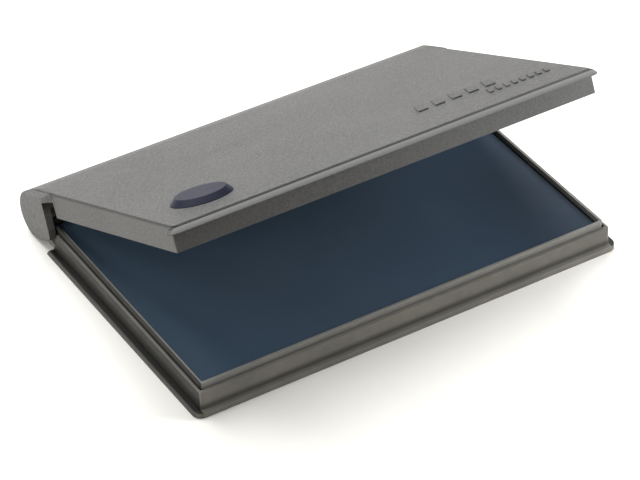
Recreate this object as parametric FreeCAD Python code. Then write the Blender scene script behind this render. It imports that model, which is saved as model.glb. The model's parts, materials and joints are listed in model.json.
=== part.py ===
import FreeCAD, Part
import math
import os

# Hinged ink pad: a shallow base tray holding an inked cloth pad, closed by a
# lid that swings on a round bead along the back edge.
# Frame: X along the hinge, Y towards the hinge (front is -Y), Z up, origin at
# the bottom centre of the whole thing with the lid at its rest angle.
# Everything is in millimetres.  Lid pieces are drawn shut and then opened.

V = FreeCAD.Vector

# ---- overall -------------------------------------------------------------
LENGTH = 116.0            # flange, left to right
DEPTH = 85.6              # flange front to back of the hinge bead
REST_ANGLE = 26.0         # lid opening at rest, degrees
BEAD_R = 6.0              # outer radius of the hinge bead
FRONT_Y = -DEPTH / 2.0
AXIS_Y = DEPTH / 2.0 - BEAD_R
AXIS_Z = 6.2              # the bead clears the table by 0.2

# ---- base tray -----------------------------------------------------------
FLANGE_T = 1.4            # thickness of the foot flange and floor
FLANGE_CORNER = 2.4
WALL_X = 56.3             # wall face at its top edge
WALL_Y = FRONT_Y + 1.45
WALL_TOP = 6.1
WALL_T = 0.75
WALL_DRAFT = 0.3          # how much wider the wall is at its foot
WALL_CORNER = 1.0
REAR_Y = 32.6             # outer face of the rear wall
REAR_T = 1.0
RELIEF_R = 10.2           # swing clearance for the lid cheeks
UNDER_LAND = 6.0          # width of the resting land under the floor
UNDER_DEEP = 0.5

# ---- hinge arms on the tray and pivot pins -------------------------------
ARM_IN = 51.8
ARM_OUT = 54.6
ARM_LOW = 4.1
ARM_HIGH = 8.1
BOSS_R = 3.0
PIN_R = 1.3
PIN_HOLE_R = 1.38
PIN_IN = 52.1
PIN_OUT = 56.7

# ---- removable pad holder, felt and cloth --------------------------------
HOLDER_X = WALL_X - 1.0
HOLDER_Y0 = WALL_Y + 1.3
HOLDER_Y1 = REAR_Y - REAR_T - 0.2
HOLDER_T = 0.7
HOLDER_FLOOR = 1.0
HOLDER_TOP = 7.6
HOLDER_CORNER = 1.0
PAD_TOP = 6.4
CLOTH_T = 0.6
PAD_GAP = 0.1

# ---- lid, drawn shut -----------------------------------------------------
LID_LOW = WALL_TOP + 0.3  # lower edge of the skirt
LID_TOP = 12.65
PLANE_END = 5.0           # the flat top ends this far in front of the axis
PANEL_T = 1.4
SKIRT_X = 56.0            # side faces of the skirt
SKIRT_T = 1.3
SKIRT_CORNER = 0.6
TONGUE_X = 55.6           # inner faces of the thinned lower skirt
TONGUE_Y = HOLDER_Y0 - 0.3
TONGUE_TOP = 8.3
PANEL_OUT = 0.85          # top panel front edge ahead of the skirt face
TOP_ROUND = 0.5
LIP_X = 57.4              # half length of the finger lip
LIP_OUT = 2.05            # finger lip overhang
LIP_LOW = 11.0
LIP_HIGH = 12.2
LIP_WRAP = 1.6            # lip length along each side face
LIP_BEVEL = 1.0           # sloped upper front edge of the lip
CHEEK_X = 57.6
CHEEK_T = 1.8
CHEEK_SLOPE = 0.7         # fall per unit outwards of the cheek's upper shoulder
CHEEK_FRONT = 9.2         # axis to the flat front of the cheek
NOTCH = 2.4               # gap from cheek to the rear end of the skirt
NOTCH_TOP = 10.4
NOTCH_ROUND = 1.2         # rounding of the skirt's rear end
FLARE = 5.0               # length over which the side strip widens to the cheek
BEAD_IN = 4.8
SHELL_END = 212.0         # where the bead wall stops, from the front, over the top

# ---- colour button and raised motif on the lid ---------------------------
BUTTON_X = -41.1
BUTTON_Y = -27.6
BUTTON_A = 7.45
BUTTON_B = 6.5
BUTTON_H = 1.5
BUTTON_SINK = 0.5
BUTTON_SLOPE = 1.25       # how far the sloped side leans in
MOTIF_H = 0.35
BARS = dict(x0=20.4, step=4.7, count=5, y=-22.6, half_w=1.35, half_h=2.7, slant=0.9)
DASHES = dict(x0=35.2, step=2.25, count=8, y=-30.0, half_w=0.55, half_h=1.7, slant=0.5)


def box(x0, x1, y0, y1, z0, z1):
    return Part.makeBox(x1 - x0, y1 - y0, z1 - z0, V(x0, y0, z0))


def prism_z(points, z0, z1):
    wire = Part.makePolygon([V(x, y, z0) for x, y in points + points[:1]])
    return Part.Face(wire).extrude(V(0, 0, z1 - z0))


def prism_x(points, x0, x1):
    wire = Part.makePolygon([V(x0, y, z) for y, z in points + points[:1]])
    return Part.Face(wire).extrude(V(x1 - x0, 0, 0))


def rod_x(radius, x0, x1, y=AXIS_Y, z=AXIS_Z):
    return Part.makeCylinder(radius, x1 - x0, V(x0, y, z), V(1, 0, 0))


def edges_where(shape, test):
    found = []
    for edge in shape.Edges:
        b = edge.BoundBox
        if test(b):
            found.append(edge)
    return found


def is_vertical(b, y_max):
    return b.ZLength > 0.1 and b.XLength < 1e-4 and b.YLength < 1e-4 and b.YMax < y_max


def rounded_block(x, y0, y1, z0, z1, corner):
    # a block symmetric in X whose two front vertical edges are rounded
    block = box(-x, x, y0, y1, z0, z1)
    return block.makeFillet(corner, edges_where(block, lambda b: is_vertical(b, y0 + 1e-3)))


def outline(x, y0, y1, z, corner):
    # closed outline with two rounded front corners
    k = corner * (1.0 - math.sqrt(0.5))
    left = Part.Arc(V(-x, y0 + corner, z), V(-x + k, y0 + k, z), V(-x + corner, y0, z))
    right = Part.Arc(V(x - corner, y0, z), V(x - k, y0 + k, z), V(x, y0 + corner, z))
    lines = [(V(-x, y1, z), V(-x, y0 + corner, z)), (V(-x + corner, y0, z), V(x - corner, y0, z)),
             (V(x, y0 + corner, z), V(x, y1, z)), (V(x, y1, z), V(-x, y1, z))]
    edges = [Part.makeLine(a, b) for a, b in lines]
    return Part.Wire([edges[0], left.toShape(), edges[1], right.toShape(), edges[2], edges[3]])


def drafted_block(x, y0, y1, z0, z1, corner, draft):
    # a rounded block whose side and front faces lean out by draft at the foot
    foot = outline(x + draft, y0 - draft, y1, z0, corner + draft)
    head = outline(x, y0, y1, z1, corner)
    return Part.makeLoft([foot, head], True, True)


def round_top(shape, radius, z, y_max):
    # round the edges of the top outline, leaving the rear edge sharp
    def on_top(b):
        flat = b.ZLength < 1e-4 and abs(b.ZMax - z) < 1e-4
        return flat and b.YMin < y_max - 1e-3
    return shape.makeFillet(radius, edges_where(shape, on_top))


def polar(u_angle, radius):
    # a point about the hinge, angle measured from the front and over the top
    a = math.radians(u_angle)
    return AXIS_Y - radius * math.cos(a), AXIS_Z + radius * math.sin(a)


def open_lid(shape):
    turned = shape.copy()
    turned.rotate(V(0, AXIS_Y, AXIS_Z), V(1, 0, 0), -REST_ANGLE)
    return turned


def make_base_tray():
    flange = rounded_block(LENGTH / 2.0, FRONT_Y, REAR_Y, 0.0, FLANGE_T, FLANGE_CORNER)
    flange = round_top(flange, 0.4, FLANGE_T, REAR_Y)
    wall = drafted_block(WALL_X, WALL_Y, REAR_Y, FLANGE_T / 2.0, WALL_TOP, WALL_CORNER,
                         WALL_DRAFT)
    wall = round_top(wall, 0.3, WALL_TOP, REAR_Y)
    tray = flange.fuse(wall)
    inner_x = WALL_X - WALL_T
    well = rounded_block(inner_x, HOLDER_Y0 - 0.25, REAR_Y - REAR_T, FLANGE_T,
                         WALL_TOP + 1.0, WALL_CORNER - 0.6)
    tray = tray.cut(well)
    relief_x = CHEEK_X - CHEEK_T - 0.4
    for side in (-1, 1):
        x0, x1 = sorted((side * relief_x, side * LENGTH))
        tray = tray.cut(rod_x(RELIEF_R, x0, x1))
    tray = tray.cut(box(-LENGTH / 2.0 + UNDER_LAND, LENGTH / 2.0 - UNDER_LAND,
                        FRONT_Y + UNDER_LAND, REAR_Y - UNDER_LAND, -1.0, UNDER_DEEP))
    for side in (-1, 1):
        x0, x1 = sorted((side * ARM_IN, side * ARM_OUT))
        arm = box(x0, x1, REAR_Y - REAR_T / 2.0, AXIS_Y, ARM_LOW, ARM_HIGH)
        gusset = prism_x([(REAR_Y - 0.2, 0.0), (REAR_Y + 1.2, ARM_LOW),
                          (REAR_Y + 1.2, ARM_LOW + 0.5), (REAR_Y - 0.2, ARM_LOW + 0.5)], x0, x1)
        boss = rod_x(BOSS_R, x0, x1)
        tray = tray.fuse(arm).fuse(gusset).fuse(boss)
    for side in (-1, 1):
        x0, x1 = sorted((side * (ARM_IN - 1.0), side * (ARM_OUT + 1.0)))
        tray = tray.cut(rod_x(PIN_HOLE_R, x0, x1))
    return tray.removeSplitter()


def make_pad_holder():
    top = HOLDER_TOP
    outer = rounded_block(HOLDER_X, HOLDER_Y0, HOLDER_Y1, FLANGE_T, top, HOLDER_CORNER)
    outer = round_top(outer, 0.25, top, HOLDER_Y1)
    inner = rounded_block(HOLDER_X - HOLDER_T, HOLDER_Y0 + HOLDER_T, HOLDER_Y1 - HOLDER_T,
                          FLANGE_T + HOLDER_FLOOR, top + 1.0, 0.5)
    return outer.cut(inner)


def pad_block(inset, z0, z1, corner):
    x = HOLDER_X - HOLDER_T - PAD_GAP - inset
    y0 = HOLDER_Y0 + HOLDER_T + PAD_GAP + inset
    y1 = HOLDER_Y1 - HOLDER_T - PAD_GAP - inset
    return rounded_block(x, y0, y1, z0, z1, corner)


def make_felt_core():
    z0 = FLANGE_T + HOLDER_FLOOR
    return pad_block(CLOTH_T, z0, PAD_TOP - CLOTH_T, 0.4)


def make_pad_cloth():
    z0 = FLANGE_T + HOLDER_FLOOR
    cover = pad_block(0.0, z0, PAD_TOP, 0.6)
    cover = round_top(cover, 0.5, PAD_TOP, HOLDER_Y1)
    return cover.cut(pad_block(CLOTH_T, z0 - 1.0, PAD_TOP - CLOTH_T, 0.4))


def make_cheek(side):
    # D-shaped end plate: round at the back, flat towards the front
    flat_y = AXIS_Y - CHEEK_FRONT
    disc = rod_x(BEAD_R, 0.0, CHEEK_T)
    nose = prism_x([(AXIS_Y, NOTCH_TOP + 0.5), (flat_y, NOTCH_TOP + 0.5),
                    (flat_y + 0.7, AXIS_Z - 4.4), (flat_y + 1.1, AXIS_Z - 5.0),
                    (flat_y + 1.8, AXIS_Z - 5.5), (flat_y + 3.2, AXIS_Z - 5.9),
                    (AXIS_Y, AXIS_Z - BEAD_R)], 0.0, CHEEK_T)
    cheek = disc.fuse(nose)
    cheek.translate(V(CHEEK_X - CHEEK_T, 0, 0))
    return cheek if side > 0 else cheek.mirror(V(0, 0, 0), V(1, 0, 0))


def top_join():
    # where the curved rear of the top panel meets the bead: a large arc that is
    # tangent to the flat top at PLANE_END and to the bead behind the axis
    rise = LID_TOP - AXIS_Z
    step = rise - BEAD_R
    big_r = (PLANE_END ** 2 / step + rise + BEAD_R) / 2.0
    lean = math.asin(PLANE_END / (big_r - BEAD_R))
    end = (AXIS_Y + BEAD_R * math.sin(lean), AXIS_Z + BEAD_R * math.cos(lean))
    centre = (AXIS_Y - PLANE_END, LID_TOP - big_r)
    mid = (centre[0] + big_r * math.sin(lean / 2.0), centre[1] + big_r * math.cos(lean / 2.0))
    return mid, end


def make_top_block(panel_y):
    # the lid as a solid block: plan outline times side profile
    mid, end = top_join()
    flat_y = AXIS_Y - CHEEK_FRONT
    front_y = flat_y + 0.5 - FLARE
    bends = []
    for side in (-1, 1):
        half = side * (SKIRT_X + CHEEK_X) / 2.0
        curve = Part.BSplineCurve()
        curve.interpolate([V(side * SKIRT_X, front_y, LID_LOW),
                           V(half, front_y + FLARE / 2.0, LID_LOW),
                           V(side * CHEEK_X, flat_y + 0.5, LID_LOW)],
                          InitialTangent=V(0, 1, 0), FinalTangent=V(0, 1, 0))
        bends.append(curve.toShape())
    right = [(SKIRT_X, front_y), (SKIRT_X, panel_y), (-SKIRT_X, panel_y), (-SKIRT_X, front_y)]
    rear = [(-CHEEK_X, flat_y + 0.5), (-CHEEK_X, end[0]), (CHEEK_X, end[0]),
            (CHEEK_X, flat_y + 0.5)]
    edges = []
    for ring in (right, rear):
        for p, q in zip(ring, ring[1:]):
            edges.append(Part.makeLine(V(p[0], p[1], LID_LOW), V(q[0], q[1], LID_LOW)))
    outline_wire = Part.Wire(Part.__sortEdges__(edges + bends))
    block = Part.Face(outline_wire).extrude(V(0, 0, LID_TOP + 1.0 - LID_LOW))
    x = -LENGTH
    corners = [(AXIS_Y - PLANE_END, LID_TOP), (FRONT_Y - 5.0, LID_TOP),
               (FRONT_Y - 5.0, LID_LOW - 1.0), (end[0] + 2.0, LID_LOW - 1.0),
               (end[0] + 2.0, end[1]), end]
    sides = [Part.makeLine(V(x, p[0], p[1]), V(x, q[0], q[1]))
             for p, q in zip(corners, corners[1:])]
    arc = Part.Arc(V(x, end[0], end[1]), V(x, mid[0], mid[1]), V(x, corners[0][0], LID_TOP))
    profile = Part.Face(Part.Wire(Part.__sortEdges__(sides + [arc.toShape()])))
    return block.common(profile.extrude(V(2.0 * LENGTH, 0, 0)))


def make_bead_shell():
    span = CHEEK_X - CHEEK_T
    tube = rod_x(BEAD_R, -span, span).cut(rod_x(BEAD_IN, -span - 1.0, span + 1.0))
    fan = [polar(a, 14.0) for a in (SHELL_END, 270.0, 315.0, 360.0, 405.0, 450.0)]
    wedge = prism_x([(AXIS_Y, AXIS_Z)] + fan, -LENGTH, LENGTH)
    return tube.cut(wedge)


def make_motif():
    # a plain raised pattern: a row of slanted bars and a finer row of dashes
    pieces = []
    for row in (BARS, DASHES):
        w, h, y, slant = row["half_w"], row["half_h"], row["y"], row["slant"]
        for i in range(row["count"]):
            x = row["x0"] + i * row["step"]
            corners = [(x - w - slant, y - h), (x + w - slant, y - h),
                       (x + w + slant, y + h), (x - w + slant, y + h)]
            pieces.append(prism_z(corners, LID_TOP - 0.2, LID_TOP + MOTIF_H))
    return pieces


def make_lip():
    y0 = WALL_Y - LIP_OUT
    y1 = WALL_Y + LIP_WRAP
    lip = rounded_block(LIP_X, y0, y1, LIP_LOW, LIP_HIGH, 2.2)
    corners = edges_where(lip, lambda b: is_vertical(b, y1 + 1.0) and b.YMin > y1 - 1e-3)
    lip = lip.makeFillet(1.2, corners)
    upper = edges_where(lip, lambda b: b.ZLength < 1e-4 and b.ZMin > LIP_HIGH - 1e-3)
    return lip.makeChamfer(LIP_BEVEL, upper)


def slope_shoulders(body):
    # the cheeks' upper shoulders fall away outwards from the straight top edge
    top = LID_TOP + 0.02
    out = SKIRT_X + 3.0
    y0 = AXIS_Y - CHEEK_FRONT - FLARE
    for side in (-1, 1):
        corners = [V(side * SKIRT_X, y0, top), V(side * out, y0, top),
                   V(side * out, y0, top - 3.0 * CHEEK_SLOPE)]
        wedge = Part.Face(Part.makePolygon(corners + corners[:1])).extrude(V(0, 22.0, 0))
        body = body.cut(wedge)
    return body


def make_lid_body():
    # the top block with its end cheeks, rounded along the whole upper outline
    panel_y = WALL_Y - PANEL_OUT
    notch_y = AXIS_Y - CHEEK_FRONT - NOTCH
    block = make_top_block(panel_y)
    front_corners = edges_where(block, lambda b: is_vertical(b, panel_y + 1e-3))
    block = block.makeFillet(1.4, front_corners)
    block = block.cut(box(-LENGTH, LENGTH, notch_y, AXIS_Y + 9.0, LID_LOW - 1.0, NOTCH_TOP))
    block = block.cut(box(-LENGTH, LENGTH, panel_y - 1.0, WALL_Y, LID_LOW - 1.0, LIP_LOW + 0.3))
    body = block.fuse(make_cheek(-1)).fuse(make_cheek(1)).removeSplitter()

    def on_outline(b):
        rim = b.XLength < 1e-4 and abs(abs(b.XMin) - CHEEK_X) < 1e-3
        if rim:
            return b.YMax > AXIS_Y - CHEEK_FRONT + 3.3
        flat = b.ZLength < 1e-4 and b.ZMin > LID_TOP - 1e-3
        return flat and b.YMin < AXIS_Y - PLANE_END - 1e-3
    body = body.makeFillet(TOP_ROUND, edges_where(body, on_outline))
    ends = edges_where(body, lambda b: is_vertical(b, notch_y + 1e-3) and b.YMin > notch_y - 1e-3)
    return slope_shoulders(body.makeFillet(NOTCH_ROUND, ends))


def make_lid_shell():
    lid = make_lid_body()
    skirt = rounded_block(SKIRT_X, WALL_Y, WALL_Y + 3.5, LID_LOW, LIP_HIGH - 0.5, SKIRT_CORNER)
    lid = lid.fuse(skirt).fuse(make_lip())
    # hollow: an upper cavity, and a wider one that thins the lower skirt
    top = LID_TOP - PANEL_T
    lid = lid.cut(rounded_block(SKIRT_X - SKIRT_T, WALL_Y + SKIRT_T, AXIS_Y + 9.0,
                                LID_LOW - 1.0, top, 0.8))
    lid = lid.cut(rounded_block(TONGUE_X, TONGUE_Y, AXIS_Y + 9.0, LID_LOW - 1.0, TONGUE_TOP, 0.5))
    lid = lid.fuse(make_bead_shell())
    boss_in = CHEEK_X - CHEEK_T - 0.5
    for side in (-1, 1):
        x0, x1 = sorted((side * boss_in, side * (CHEEK_X - 0.6)))
        lid = lid.fuse(rod_x(2.6, x0, x1))
    for side in (-1, 1):
        x0, x1 = sorted((side * (boss_in - 1.0), side * PIN_OUT))
        lid = lid.cut(rod_x(PIN_R, x0, x1))
    lid = lid.cut(make_button_plug(LID_TOP - BUTTON_SINK, LID_TOP + 1.0, 0.1))
    for piece in make_motif():
        lid = lid.fuse(piece)
    return lid.removeSplitter()


def button_outline(z, grow):
    ellipse = Part.Ellipse(V(BUTTON_X, BUTTON_Y, z), BUTTON_A + grow, BUTTON_B + grow)
    return Part.Wire(ellipse.toShape())


def make_button_plug(z0, z1, grow):
    return Part.Face(button_outline(z0, grow)).extrude(V(0, 0, z1 - z0))


def make_colour_button():
    # an oval plug with a straight foot in the lid and a broad sloped side
    top = LID_TOP + BUTTON_H
    foot = make_button_plug(LID_TOP - BUTTON_SINK, LID_TOP + 0.15, 0.0)
    cone = Part.makeLoft([button_outline(LID_TOP + 0.15, 0.0), button_outline(top, -BUTTON_SLOPE)],
                         True, True)
    button = foot.fuse(cone).removeSplitter()
    rim = edges_where(button, lambda b: b.ZLength < 1e-3 and b.ZMin > top - 1e-3)
    return button.makeFillet(0.2, rim)


def make_hinge_pin(side):
    x0, x1 = sorted((side * PIN_IN, side * PIN_OUT))
    pin = rod_x(PIN_R, x0, x1)
    tip = edges_where(pin, lambda b: b.XLength < 1e-4 and abs(abs(b.XMin) - PIN_IN) < 1e-3)
    return pin.makeChamfer(0.3, tip)


def main():
    base_parts = {
        "base_tray": make_base_tray(),
        "pad_holder": make_pad_holder(),
        "felt_core": make_felt_core(),
        "pad_cloth": make_pad_cloth(),
    }
    lid_parts = {
        "lid_shell": make_lid_shell(),
        "colour_button": make_colour_button(),
        "hinge_pin_left": make_hinge_pin(-1),
        "hinge_pin_right": make_hinge_pin(1),
    }
    os.makedirs("parts", exist_ok=True)
    for name, shape in base_parts.items():
        shape.exportStep("parts/" + name + ".step")
    for name, shape in lid_parts.items():
        open_lid(shape).exportStep("parts/" + name + ".step")


main()
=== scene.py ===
import json
import math

import bmesh
import bpy
from mathutils import Matrix, Vector


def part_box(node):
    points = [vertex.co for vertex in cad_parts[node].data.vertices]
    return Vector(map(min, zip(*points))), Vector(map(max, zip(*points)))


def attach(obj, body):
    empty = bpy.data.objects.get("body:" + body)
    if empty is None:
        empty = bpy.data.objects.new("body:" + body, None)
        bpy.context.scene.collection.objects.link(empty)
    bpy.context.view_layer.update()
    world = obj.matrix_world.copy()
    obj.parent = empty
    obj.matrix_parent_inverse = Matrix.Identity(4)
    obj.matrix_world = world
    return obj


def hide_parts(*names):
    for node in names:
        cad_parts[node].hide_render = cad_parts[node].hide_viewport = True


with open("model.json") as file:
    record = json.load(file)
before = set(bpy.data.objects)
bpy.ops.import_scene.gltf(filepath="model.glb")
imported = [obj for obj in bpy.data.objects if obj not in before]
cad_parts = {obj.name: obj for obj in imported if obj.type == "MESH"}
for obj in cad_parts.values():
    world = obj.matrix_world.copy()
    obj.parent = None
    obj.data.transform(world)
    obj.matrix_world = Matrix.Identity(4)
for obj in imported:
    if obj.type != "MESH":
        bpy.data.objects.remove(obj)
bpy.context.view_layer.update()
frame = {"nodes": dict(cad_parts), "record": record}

MM = 0.001
HINGE_JOINT = frame["record"]["behaviour"]["joints"][0]
HINGE = Vector(HINGE_JOINT["pos_m"])
REST_ANGLE = -math.radians(HINGE_JOINT["range_deg"][0])

# places on the lid, in millimetres from the hinge axis and along the lid
LID_RISE = 6.45
CHEEK_FRONT = -9.2
LIP_EDGE = -79.0
LIP_LOW = 4.8

# places on the tray and its holder, in millimetres
FLANGE_TOP = 1.4
TRAY_SIDE = 56.2
HOLDER_SIDE = 55.0

# the pad: rolled edge, rounded corner, tucked side, and gap to its CAD box
PAD_GRID = (88, 54)
PAD_ROLL = 0.9 * MM
PAD_ROLL_STEPS = 6
PAD_CORNER = 1.1 * MM
PAD_SIDE_DROPS = (0.7 * MM, 1.6 * MM, 2.6 * MM, 3.4 * MM)
PAD_GAP = 0.05 * MM
PAD_CROWN = 0.3 * MM
SIM_SCALE = 20.0
SIM_FRAMES = 20
SIM_PRESSURE = 4.0

# floor, light and camera
FLOOR_HALF = 1.2
FLOOR_Z = -0.00005
WORLD_LIGHT = 0.04
LIGHTS = (
    # name, place, aim, size, power
    ("key", (0.05, 0.8, 0.95), (0.0, 0.0, 0.02), 1.3, 30.6),
    ("left", (-1.0, 0.1, 0.3), (0.0, 0.0, 0.03), 0.4, 5.4),
    ("left_high", (-0.9, 0.2, 0.9), (0.0, 0.0, 0.03), 0.5, 2.5),
    ("right", (0.9, -0.3, 0.5), (0.03, -0.04, 0.02), 0.5, 4.2),
    ("right_low", (0.17, -0.12, 0.085), (0.05, -0.04, 0.035), 0.08, 0.3),
)
CAMERA_TURN = (-31.510, 37.983, -0.623)  # azimuth, elevation and roll, in degrees
CAMERA_PLACE = (-0.308684, -0.504712, 0.462103)
CAMERA_LENS = 175.908
CAMERA_SENSOR = 36.0
CAMERA_SHIFT = (0.00099, -0.00734)

ACROSS = (1.0, 0.0, 0.0)
INWARD = (0.0, 1.0, 0.0)
UPWARD = (0.0, 0.0, 1.0)


# ---------------------------------------------------------------- materials
class Nodes:
    """A small helper that builds one procedural material."""

    def __init__(self, name):
        self.mat = bpy.data.materials.new(name)
        self.mat.use_nodes = True
        self.tree = self.mat.node_tree
        self.tree.nodes.clear()
        output = self.add("ShaderNodeOutputMaterial")
        self.bsdf = self.add("ShaderNodeBsdfPrincipled")
        self.link(self.bsdf.outputs["BSDF"], output.inputs["Surface"])
        self.coord = self.add("ShaderNodeTexCoord").outputs["Object"]

    def add(self, kind, **props):
        node = self.tree.nodes.new(kind)
        for key, value in props.items():
            setattr(node, key, value)
        return node

    def link(self, a, b):
        self.tree.links.new(a, b)

    def put(self, socket, value):
        if isinstance(value, bpy.types.NodeSocket):
            self.link(value, socket)
        else:
            socket.default_value = value

    def math(self, op, a, b=0.0):
        node = self.add("ShaderNodeMath", operation=op)
        self.put(node.inputs[0], a)
        self.put(node.inputs[1], b)
        return node.outputs[0]

    def times(self, first, *others):
        for other in others:
            first = self.math("MULTIPLY", first, other)
        return first

    def noise(self, scale, detail=2.0, rough=0.5, distort=0.0):
        node = self.add("ShaderNodeTexNoise")
        self.link(self.coord, node.inputs["Vector"])
        node.inputs["Scale"].default_value = scale
        node.inputs["Detail"].default_value = detail
        node.inputs["Roughness"].default_value = rough
        node.inputs["Distortion"].default_value = distort
        return node.outputs["Fac"]

    def cells(self, scale):
        node = self.add("ShaderNodeTexVoronoi", feature="SMOOTH_F1")
        self.link(self.coord, node.inputs["Vector"])
        node.inputs["Scale"].default_value = scale
        return node.outputs["Distance"]

    def spread(self, value, low, high, to_low=0.0, to_high=1.0, smooth=False):
        """Maps low to high onto to_low to to_high, and holds the ends."""
        node = self.add("ShaderNodeMapRange", clamp=True)
        if smooth:
            node.interpolation_type = "SMOOTHSTEP"
        self.put(node.inputs["Value"], value)
        for key, number in (("From Min", low), ("From Max", high),
                            ("To Min", to_low), ("To Max", to_high)):
            node.inputs[key].default_value = number
        return node.outputs["Result"]

    def fall(self, value, low, high, smooth=False):
        """1 up to low, and 0 from high on."""
        return self.spread(value, low, high, 1.0, 0.0, smooth)

    def mix(self, factor, a, b):
        node = self.add("ShaderNodeMix", data_type="RGBA")
        self.put(node.inputs[0], factor)
        self.put(node.inputs[6], a)
        self.put(node.inputs[7], b)
        return node.outputs[2]

    def tint(self, base, where, amount, color):
        """Carries base towards color by amount, in the places that where marks."""
        return self.mix(self.times(where, amount), base, color)

    def bump(self, height, strength, distance, normal=None):
        node = self.add("ShaderNodeBump")
        node.inputs["Strength"].default_value = strength
        node.inputs["Distance"].default_value = distance
        self.link(height, node.inputs["Height"])
        if normal is not None:
            self.link(normal, node.inputs["Normal"])
        return node.outputs["Normal"]

    def along(self, direction, origin=(0.0, 0.0, 0.0)):
        """Distance of the point from a plane through origin, in millimetres."""
        minus = self.add("ShaderNodeVectorMath", operation="SUBTRACT")
        self.link(self.coord, minus.inputs[0])
        minus.inputs[1].default_value = origin
        dot = self.add("ShaderNodeVectorMath", operation="DOT_PRODUCT")
        self.link(minus.outputs[0], dot.inputs[0])
        dot.inputs[1].default_value = Vector(direction) / MM
        return dot.outputs["Value"]

    def aside(self):
        """Distance from the middle plane, the same to either side."""
        return self.math("ABSOLUTE", self.along(ACROSS))

    def finish(self, color, rough, normal=None, **fixed):
        self.put(self.bsdf.inputs["Base Color"], color)
        self.put(self.bsdf.inputs["Roughness"], rough)
        if normal is not None:
            self.link(normal, self.bsdf.inputs["Normal"])
        for key, value in fixed.items():
            self.bsdf.inputs[key.replace("_", " ")].default_value = value
        return self.mat


def grey(v, warm=0.0):
    return (v * (1.0 + warm), v * (1.0 + warm * 0.5), v * (1.0 - warm), 1.0)


def lid_plastic():
    n = Nodes("lid_plastic")
    height = n.along((0.0, math.sin(REST_ANGLE), math.cos(REST_ANGLE)), HINGE)
    depth = n.along((0.0, math.cos(REST_ANGLE), -math.sin(REST_ANGLE)), HINGE)
    across = n.along(ACROSS)
    side = n.aside()
    # spark grain: small pits and grains, strongest on the flat top
    top = n.spread(height, LID_RISE - 0.12, LID_RISE - 0.03, smooth=True)
    fine = n.noise(2300.0, 2.0, 0.65)
    grain = n.math("ADD", n.times(n.cells(1500.0), 0.9), fine)
    grain = n.times(grain, n.math("ADD", n.times(top, 0.88), 0.12))
    normal = n.bump(grain, 1.0, 0.0004)
    # colour: speckle at the grain's size, broad soft cloudiness from handling
    speck = n.spread(n.noise(1500.0, 2.0, 0.75), 0.36, 0.64)
    patch = n.spread(n.noise(260.0, 3.0, 0.6), 0.3, 0.7)
    cloud = n.spread(n.noise(28.0, 3.0, 0.55, distort=0.6), 0.3, 0.7)
    base = n.mix(speck, grey(0.062, 0.012), grey(0.101, 0.012))
    base = n.tint(base, patch, 0.25, grey(0.070, 0.02))
    base = n.tint(base, cloud, 0.35, grey(0.093, 0.015))
    # the lid is painted a little lighter towards its right end: painted light
    base = n.tint(base, n.spread(across, -45.0, 50.0), 0.5, grey(0.102, 0.012))
    # painted shade along the rounding of the upper side edges; over the
    #     sloping shoulders of the cheeks it goes on as a painted shade line along the side
    edge_shade = n.times(n.spread(height, LID_RISE - 0.8, LID_RISE - 0.5, smooth=True),
                   n.fall(height, LID_RISE - 0.15, LID_RISE - 0.02, smooth=True),
                   n.spread(side, 54.6, 55.0))
    shoulder_shade_line = n.times(n.spread(side, 55.3, 55.7, smooth=True),
                   n.fall(side, 56.0, 56.4, smooth=True),
                   n.spread(height, 4.6, 5.4))
    rear = n.spread(depth, CHEEK_FRONT - 5.0, CHEEK_FRONT - 3.5, smooth=True)
    edge_shade = n.math("ADD", n.times(edge_shade, n.math("SUBTRACT", 1.0, rear)), n.times(shoulder_shade_line, rear))
    base = n.tint(base, edge_shade, 0.9, grey(0.036, 0.01))
    # the finger lip is painted pale, a painted highlight, with a painted shade line where it
    # meets the panel
    lip_highlight = n.times(n.fall(depth, LIP_EDGE - 0.15, LIP_EDGE - 0.05),
                  n.spread(height, LIP_LOW + 0.05, LIP_LOW + 0.9))
    base = n.mix(lip_highlight, base, grey(0.17, 0.012))
    # painted shade in the concave step between the panel and the lip
    seam_shade = n.times(n.spread(depth, LIP_EDGE - 0.15, LIP_EDGE - 0.05),
                   n.fall(depth, LIP_EDGE + 0.35, LIP_EDGE + 0.45),
                   n.spread(height, LIP_LOW + 0.9, LIP_LOW + 1.0),
                   n.fall(height, LID_RISE - 0.35, LID_RISE - 0.15))
    base = n.tint(base, seam_shade, 0.75, grey(0.03, 0.01))
    # the front skirt is painted darker, more towards its left end: painted shade
    skirt_shade = n.times(n.fall(depth, LIP_EDGE + 0.9, LIP_EDGE + 1.1),
                     n.fall(height, LIP_LOW - 0.1, LIP_LOW + 0.05),
                     n.fall(across, -55.0, 20.0))
    base = n.tint(base, skirt_shade, 0.44, grey(0.03, 0.12))
    # the raised marks are painted a little darker than the grained field: painted shade
    marks_shade = n.spread(height, LID_RISE + 0.12, LID_RISE + 0.3)
    base = n.tint(base, marks_shade, 0.3, grey(0.045, 0.01))
    # painted shade on the inner faces of the gap in front of each round cheek
    gap_shade = n.times(n.spread(depth, CHEEK_FRONT - 2.5, CHEEK_FRONT - 2.2),
                  n.fall(depth, CHEEK_FRONT + 0.05, CHEEK_FRONT + 0.3),
                  n.fall(height, 3.9, 4.25))
    base = n.tint(base, gap_shade, 0.97, grey(0.005, 0.03))
    rough = n.spread(n.math("ADD", speck, cloud), 0.2, 1.8, 0.62, 0.5)
    return n.finish(base, rough, normal, Specular_IOR_Level=0.3)


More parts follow.
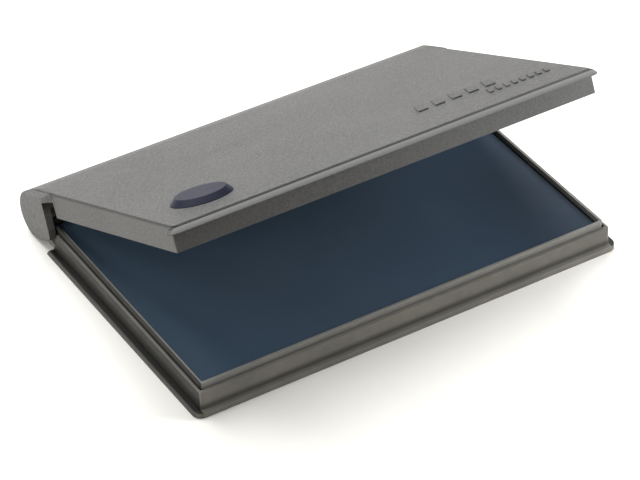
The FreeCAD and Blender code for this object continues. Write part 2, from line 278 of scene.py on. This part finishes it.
def tray_plastic(name, dark, light, shade_painter):
    n = Nodes(name)
    fine = n.noise(2600.0, 2.0, 0.55)
    soft = n.noise(160.0, 3.0, 0.55)
    scuff = n.noise(420.0, 4.0, 0.6, distort=1.2)
    base = n.mix(n.spread(soft, 0.3, 0.7), dark, light)
    wear_and_shade = n.spread(scuff, 0.66, 0.8)
    base = n.tint(base, wear_and_shade, 0.25, grey(light[0] * 1.4, 0.02))
    # the given function paints shade into the colour
    base = shade_painter(n, base)
    rough = n.spread(n.math("ADD", fine, soft), 0.7, 1.3, 0.53, 0.39)
    normal = n.bump(fine, 0.25, 0.00003)
    return n.finish(base, rough, normal, Specular_IOR_Level=0.2)


def tray_painted_shade(n, base):
    """Painted shade in the angle over the flange, and heavily along the two ends."""
    z = n.along(UPWARD)
    side = n.aside()
    level = n.math("ADD", z, n.times(n.noise(70.0, 3.0, 0.5), 0.7))
    above = n.spread(z, FLANGE_TOP + 0.02, FLANGE_TOP + 0.35)
    # painted shade in the angle over the flange, with a ragged upper edge
    foot_shade = n.times(n.fall(level, 2.4, 3.9, smooth=True), above)
    base = n.tint(base, foot_shade, 0.6, grey(0.02, 0.12))
    # the front wall is painted darker towards its right end: painted shade
    front_wall_shade = n.times(n.spread(n.along(ACROSS), 5.0, 55.0), above)
    base = n.tint(base, front_wall_shade, 0.28, grey(0.03, 0.1))
    # painted shade on the end walls, thinning a little towards the top
    flank_shade = n.times(n.spread(side, TRAY_SIDE - 0.1, TRAY_SIDE + 0.1),
                    n.spread(z, FLANGE_TOP - 0.25, FLANGE_TOP - 0.02),
                    n.spread(level, 4.0, 5.1, 0.99, 0.86, smooth=True))
    base = n.mix(flank_shade, base, grey(0.007, 0.12))
    # painted shade on the outer rim of the flange, and on its ledge
    rim_shade = n.times(n.spread(side, 57.5, 57.8), n.fall(z, FLANGE_TOP - 0.25, FLANGE_TOP - 0.1))
    base = n.tint(base, rim_shade, 0.7, grey(0.02, 0.1))
    ledge_shade = n.times(n.spread(side, TRAY_SIDE - 0.3, TRAY_SIDE),
                    n.fall(z, FLANGE_TOP - 0.1, FLANGE_TOP + 0.05))
    return n.tint(base, ledge_shade, 0.3, grey(0.02, 0.1))


def holder_painted_shade(n, base):
    """Painted shade on the outer sides of the holder and along its rear."""
    flank_shade = n.spread(n.aside(), HOLDER_SIDE - 0.1, HOLDER_SIDE + 0.05)
    rear = n.spread(n.along(INWARD), 23.0, 26.5, smooth=True)
    return n.tint(base, n.math("MAXIMUM", flank_shade, rear), 0.9, grey(0.008, 0.1))


def ink_cloth():
    n = Nodes("ink_cloth")
    across, inward = n.along(ACROSS), n.along(INWARD)
    # plain weave: two crossed sets of threads, one third of a millimetre apart
    shift = n.times(n.noise(220.0, 2.0, 0.5), 0.35)
    pitch = 2.0 * math.pi / 0.34
    threads = [n.math("SINE", n.times(n.math("ADD", place, shift), pitch))
               for place in (across, inward)]
    weave = n.times(*threads)
    normal = n.bump(n.noise(90.0, 3.0, 0.5), 0.25, 0.0002)
    normal = n.bump(weave, 0.35, 0.00004, normal)
    wet = n.spread(n.noise(45.0, 4.0, 0.6, distort=0.8), 0.32, 0.68, smooth=True)
    base = n.mix(n.spread(weave, -1.0, 1.0), (0.031, 0.056, 0.088, 1.0),
                 (0.043, 0.075, 0.115, 1.0))
    base = n.tint(base, wet, 0.25, (0.027, 0.051, 0.09, 1.0))
    # the rear half is painted lighter: painted light
    rear = n.spread(inward, -30.0, 20.0, smooth=True)
    base = n.tint(base, rear, 0.22, (0.066, 0.115, 0.18, 1.0))
    # the near right corner is painted the darkest: painted shade
    wear_and_shade = n.times(n.spread(across, 20.0, 54.0, smooth=True),
                   n.fall(inward, -20.0, 20.0, smooth=True))
    base = n.tint(base, wear_and_shade, 0.9, (0.018, 0.033, 0.055, 1.0))
    # the far left is painted lighter: painted light
    far_left_light = n.times(n.fall(across, -54.0, -30.0, smooth=True),
                  n.spread(inward, -30.0, 0.0, smooth=True))
    base = n.tint(base, far_left_light, 0.3, (0.066, 0.115, 0.16, 1.0))
    rough = n.spread(wet, 0.0, 1.0, 0.78, 0.6)
    return n.finish(base, rough, normal, Specular_IOR_Level=0.2, Sheen_Weight=0.05,
                    Sheen_Roughness=0.5)


def felt():
    n = Nodes("ink_felt")
    fibre = n.noise(900.0, 4.0, 0.7, distort=2.0)
    base = n.mix(n.spread(fibre, 0.3, 0.7), (0.012, 0.02, 0.05, 1.0), (0.03, 0.045, 0.09, 1.0))
    return n.finish(base, 0.95, n.bump(fibre, 0.8, 0.0002))


def button_plastic():
    n = Nodes("button_plastic")
    fine = n.noise(1500.0, 2.0, 0.5)
    soft = n.noise(240.0, 3.0, 0.6, distort=0.5)
    base = n.mix(n.spread(soft, 0.3, 0.7), (0.0085, 0.0097, 0.023, 1.0),
                 (0.0125, 0.0142, 0.032, 1.0))
    rough = n.spread(n.math("ADD", soft, fine), 0.7, 1.3, 0.48, 0.58)
    return n.finish(base, rough, n.bump(fine, 0.12, 0.00003), Specular_IOR_Level=0.17)


def pin_steel():
    n = Nodes("pin_steel")
    turn = n.noise(1200.0, 3.0, 0.6)
    base = n.mix(n.spread(turn, 0.3, 0.7), grey(0.42), grey(0.58))
    return n.finish(base, n.spread(turn, 0.3, 0.7, 0.28, 0.42), n.bump(turn, 0.2, 0.00002),
                    Metallic=1.0)


def paint(node, material):
    obj = frame["nodes"][node]
    for slot in obj.material_slots:
        slot.material = material
    if not obj.material_slots:
        obj.data.materials.append(material)


# ------------------------------------------------------------- the ink pad
def pad_rings():
    """How far out and down each ring of the pad's edge lies from its flat top."""
    turns = [math.pi / 2.0 * i / PAD_ROLL_STEPS for i in range(1, PAD_ROLL_STEPS + 1)]
    rolled = [(PAD_ROLL * math.sin(a), PAD_ROLL * (1.0 - math.cos(a))) for a in turns]
    return rolled + [(PAD_ROLL, PAD_ROLL + drop) for drop in PAD_SIDE_DROPS]


def make_pad():
    """Cloth stretched over the felt: flat top, rolled edges, sides tucked down."""
    low, high = (Vector(corner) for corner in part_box("pad_cloth"))
    centre = (low + high) / 2.0
    flat_x = (high.x - low.x) / 2.0 - PAD_GAP - PAD_ROLL
    flat_y = (high.y - low.y) / 2.0 - PAD_GAP - PAD_ROLL
    nx, ny = PAD_GRID
    bm = bmesh.new()
    grid = [[bm.verts.new((centre.x + (2.0 * i / nx - 1.0) * flat_x,
                           centre.y + (2.0 * j / ny - 1.0) * flat_y, high.z))
             for i in range(nx + 1)] for j in range(ny + 1)]
    for j in range(ny):
        for i in range(nx):
            bm.faces.new((grid[j][i], grid[j][i + 1], grid[j + 1][i + 1], grid[j + 1][i]))
    border = [grid[0][i] for i in range(nx)]
    border += [grid[j][nx] for j in range(ny)]
    border += [grid[ny][i] for i in range(nx, 0, -1)]
    border += [grid[j][0] for j in range(ny, 0, -1)]
    previous = border
    for out, down in pad_rings():
        loop = []
        for vert in border:
            # outward direction, turned smoothly round the corners
            x, y = vert.co.x - centre.x, vert.co.y - centre.y
            aim = Vector((math.copysign(max(abs(x) - flat_x + PAD_CORNER, 0.0), x),
                          math.copysign(max(abs(y) - flat_y + PAD_CORNER, 0.0), y), 0.0))
            aim.normalize()
            loop.append(bm.verts.new(vert.co + aim * out - Vector((0.0, 0.0, down))))
        for k in range(len(border)):
            m = (k + 1) % len(border)
            bm.faces.new((previous[k], loop[k], loop[m], previous[m]))
        previous = loop
    mesh = bpy.data.meshes.new("pad_cloth_skin")
    bm.normal_update()
    bm.to_mesh(mesh)
    bm.free()
    for poly in mesh.polygons:
        poly.use_smooth = True
    pad = bpy.data.objects.new("pad_cloth_skin", mesh)
    bpy.context.scene.collection.objects.link(pad)
    return pad


def settle(pad):
    """Cloth pass: the held-down edges stay put and the sheet swells over the felt."""
    scene = bpy.context.scene
    still = [v.co.copy() for v in pad.data.vertices]
    top = max(place.z for place in still)
    pins = pad.vertex_groups.new(name="tucked")
    pins.add([i for i, p in enumerate(still) if p.z < top - PAD_GAP], 1.0, "REPLACE")
    pad.scale = (SIM_SCALE,) * 3
    cloth = pad.modifiers.new("cloth", "CLOTH")
    rules = cloth.settings
    rules.quality = 6
    rules.mass = 0.3
    rules.tension_stiffness = 40.0
    rules.compression_stiffness = 40.0
    rules.shear_stiffness = 15.0
    rules.bending_stiffness = 2.0
    rules.vertex_group_mass = "tucked"
    rules.use_pressure = True
    rules.uniform_pressure_force = SIM_PRESSURE
    rules.effector_weights.gravity = 0.0
    scene.frame_end = SIM_FRAMES
    cloth.point_cache.frame_start = 1
    cloth.point_cache.frame_end = SIM_FRAMES
    for step in range(1, SIM_FRAMES + 1):
        scene.frame_set(step)
    shaped = pad.evaluated_get(bpy.context.evaluated_depsgraph_get()).to_mesh()
    rises = [(v.co - p).z for v, p in zip(shaped.vertices, still)]
    pad.to_mesh_clear()
    pad.modifiers.remove(cloth)
    pad.vertex_groups.remove(pins)
    pad.scale = (1.0, 1.0, 1.0)
    scene.frame_set(1)
    # the simulated swelling keeps its form, scaled down to the crown of a tight pad
    gain = min(1.0, PAD_CROWN / max(rises))
    for vert, place, rise in zip(pad.data.vertices, still, rises):
        vert.co = place + Vector((0.0, 0.0, rise * gain))
    pad.data.update()


pad = make_pad()
settle(pad)
pad.data.materials.append(ink_cloth())
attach(pad, "base")
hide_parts("pad_cloth")

steel = pin_steel()
paint("lid_shell", lid_plastic())
paint("base_tray", tray_plastic("base_plastic", grey(0.135, 0.08), grey(0.165, 0.09), tray_painted_shade))
paint("pad_holder",
      tray_plastic("holder_plastic", grey(0.185, 0.04), grey(0.215, 0.05), holder_painted_shade))
paint("colour_button", button_plastic())
paint("felt_core", felt())
paint("hinge_pin_left", steel)
paint("hinge_pin_right", steel)


# ------------------------------------------------------- floor, light, camera
def make_floor():
    mesh = bpy.data.meshes.new("floor")
    corners = ((-1, -1), (1, -1), (1, 1), (-1, 1))
    mesh.from_pydata([(x * FLOOR_HALF, y * FLOOR_HALF, FLOOR_Z) for x, y in corners],
                     [], [(0, 1, 2, 3)])
    n = Nodes("floor_paper")
    mottle = n.spread(n.noise(6.0, 3.0, 0.5), 0.3, 0.7)
    mesh.materials.append(n.finish(n.mix(mottle, grey(0.86, 0.035), grey(0.885, 0.035)), 0.7))
    floor = bpy.data.objects.new("floor", mesh)
    bpy.context.scene.collection.objects.link(floor)


def make_light(name, place, aim, size, power):
    data = bpy.data.lights.new(name, "AREA")
    data.shape = "DISK"
    data.size = size
    data.energy = power
    lamp = bpy.data.objects.new(name, data)
    lamp.location = place
    lamp.rotation_euler = (Vector(aim) - Vector(place)).to_track_quat("-Z", "Y").to_euler()
    bpy.context.scene.collection.objects.link(lamp)


def make_world():
    """Dim even light from all round, in front of a plain pale studio wall."""
    world = bpy.data.worlds.new("studio")
    bpy.context.scene.world = world
    world.use_nodes = True
    tree = world.node_tree
    shade = tree.nodes["Background"]
    shade.inputs["Color"].default_value = (1.0, 1.0, 1.0, 1.0)
    shade.inputs["Strength"].default_value = WORLD_LIGHT
    wall = tree.nodes.new("ShaderNodeBackground")
    wall.inputs["Color"].default_value = grey(0.75)
    path = tree.nodes.new("ShaderNodeLightPath")
    pick = tree.nodes.new("ShaderNodeMixShader")
    tree.links.new(path.outputs["Is Camera Ray"], pick.inputs[0])
    tree.links.new(shade.outputs[0], pick.inputs[1])
    tree.links.new(wall.outputs[0], pick.inputs[2])
    tree.links.new(pick.outputs[0], tree.nodes["World Output"].inputs["Surface"])


def make_camera():
    azimuth, elevation, roll = (math.radians(a) for a in CAMERA_TURN)
    back = Vector((math.sin(azimuth) * math.cos(elevation),
                   -math.cos(azimuth) * math.cos(elevation), math.sin(elevation)))
    right = Vector(UPWARD).cross(back).normalized()
    up = back.cross(right)
    turn_x = right * math.cos(roll) + up * math.sin(roll)
    turn_y = up * math.cos(roll) - right * math.sin(roll)
    turn = Matrix((turn_x, turn_y, back)).transposed().to_4x4()
    data = bpy.data.cameras.new("camera")
    data.lens = CAMERA_LENS
    data.sensor_width = CAMERA_SENSOR
    data.shift_x, data.shift_y = CAMERA_SHIFT
    data.clip_start = 0.05
    data.clip_end = 20.0
    camera = bpy.data.objects.new("camera", data)
    camera.matrix_world = Matrix.Translation(CAMERA_PLACE) @ turn
    bpy.context.scene.collection.objects.link(camera)
    bpy.context.scene.camera = camera


make_floor()
make_world()
for light in LIGHTS:
    make_light(*light)
make_camera()
bpy.context.scene.view_settings.view_transform = "Standard"
